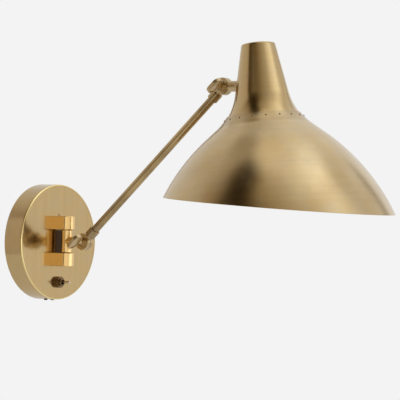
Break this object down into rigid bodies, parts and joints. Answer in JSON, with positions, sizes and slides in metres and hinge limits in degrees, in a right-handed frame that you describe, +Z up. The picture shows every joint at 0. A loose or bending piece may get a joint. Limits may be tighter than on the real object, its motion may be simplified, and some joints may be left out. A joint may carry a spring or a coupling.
{
  "type": "swivel wall lamp",
  "caption": "Brass wall lamp: a round switched backplate, a vertical hinge, one straight arm with a thumb-keyed friction swivel at each end, and a tall-necked bell shade.",
  "frame": {"origin": "centre of the backplate's back, on the wall", "axes": "+Y into the wall, +Z up, the lamp stands out along -Y"},
  "size_m": [0.2448, 0.4489, 0.2826],
  "materials": {
    "satin_brass": "aged, satin brushed",
    "polished_brass": "aged, polished",
    "pale_brass": "bright",
    "dark_metal": "darkened",
    "dark_screw": "darkened",
    "zinc_steel": "zinc plated",
    "green_screw": "green plated",
    "nickel": "nickel plated",
    "black_plastic": "moulded",
    "wire_nut_plastic": "moulded",
    "insulator": "moulded",
    "cable_sheath": "smooth",
    "fibre": "fibre",
    "bulb_glass": "frosted"
  },
  "bodies": {
    "wall": {"mounting_pan": "zinc_steel", "ground_screw": "green_screw", "canopy": "satin_brass", "canopy_set_screws": "dark_screw", "upper_knuckle": "polished_brass", "lower_knuckle": "polished_brass", "knuckle_screws": "zinc_steel", "hinge_pivot_tube": "satin_brass", "plate_pin": "satin_brass", "switch_body": "black_plastic", "switch_bushing": "dark_metal", "switch_nut": "dark_metal", "switch_leads": "black_plastic", "wire_connectors": "wire_nut_plastic"},
    "switch_lever": {"switch_lever": "pale_brass"},
    "swivel": {"swivel_barrel": "polished_brass", "hinge_washers": "fibre", "swivel_ear": "satin_brass", "lower_friction_washer": "fibre"},
    "lower_key": {"lower_thumb_key": "satin_brass", "lower_key_washer": "satin_brass"},
    "arm": {"lower_arm_ear": "satin_brass", "lower_ferrule": "satin_brass", "arm_tube": "satin_brass", "arm_cable": "cable_sheath", "upper_ferrule": "satin_brass", "upper_arm_ear": "satin_brass"},
    "upper_key": {"upper_thumb_key": "satin_brass", "upper_key_washer": "satin_brass"},
    "shade": {"neck_ear": "satin_brass", "upper_friction_washer": "fibre", "saddle_washer": "satin_brass", "neck_nipple": "zinc_steel", "neck_lock_nut": "zinc_steel", "socket_bracket": "zinc_steel", "socket_stud": "zinc_steel", "socket_stud_nut": "zinc_steel", "socket_cap": "satin_brass", "socket_shell": "satin_brass", "socket_liner": "insulator", "socket_core": "insulator", "screw_contact": "pale_brass", "centre_contact": "pale_brass", "socket_leads": "cable_sheath", "shade_neck": "satin_brass", "shade_bell": "satin_brass", "shade_rivets": "satin_brass", "bulb_base": "nickel", "bulb_glass": "bulb_glass"}
  },
  "joints": [
    {"name": "wall_swivel", "type": "hinge", "parent": "wall", "child": "swivel", "pos_m": [0, -0.0355, 0.001], "axis": [0, 0, 1], "range_deg": [-60, 65]},
    {"name": "arm_tilt", "type": "hinge", "parent": "swivel", "child": "arm", "pos_m": [0, -0.0605, 0.001], "axis": [-1, 0, 0], "range_deg": [-80, 45]},
    {"name": "shade_tilt", "type": "hinge", "parent": "arm", "child": "shade", "pos_m": [0, -0.24822, 0.17062], "axis": [-1, 0, 0], "range_deg": [-22, 90]},
    {"name": "lower_key_turn", "type": "hinge", "parent": "swivel", "child": "lower_key", "pos_m": [0, -0.0605, 0.001], "axis": [-1, 0, 0], "range_deg": [0, 180]},
    {"name": "upper_key_turn", "type": "hinge", "parent": "shade", "child": "upper_key", "pos_m": [0, -0.24822, 0.17062], "axis": [-1, 0, 0], "range_deg": [0, 180]},
    {"name": "switch_throw", "type": "hinge", "parent": "wall", "child": "switch_lever", "pos_m": [0, -0.0255, -0.0442], "axis": [0, 0, 1], "range_deg": [-22, 0]}
  ]
}
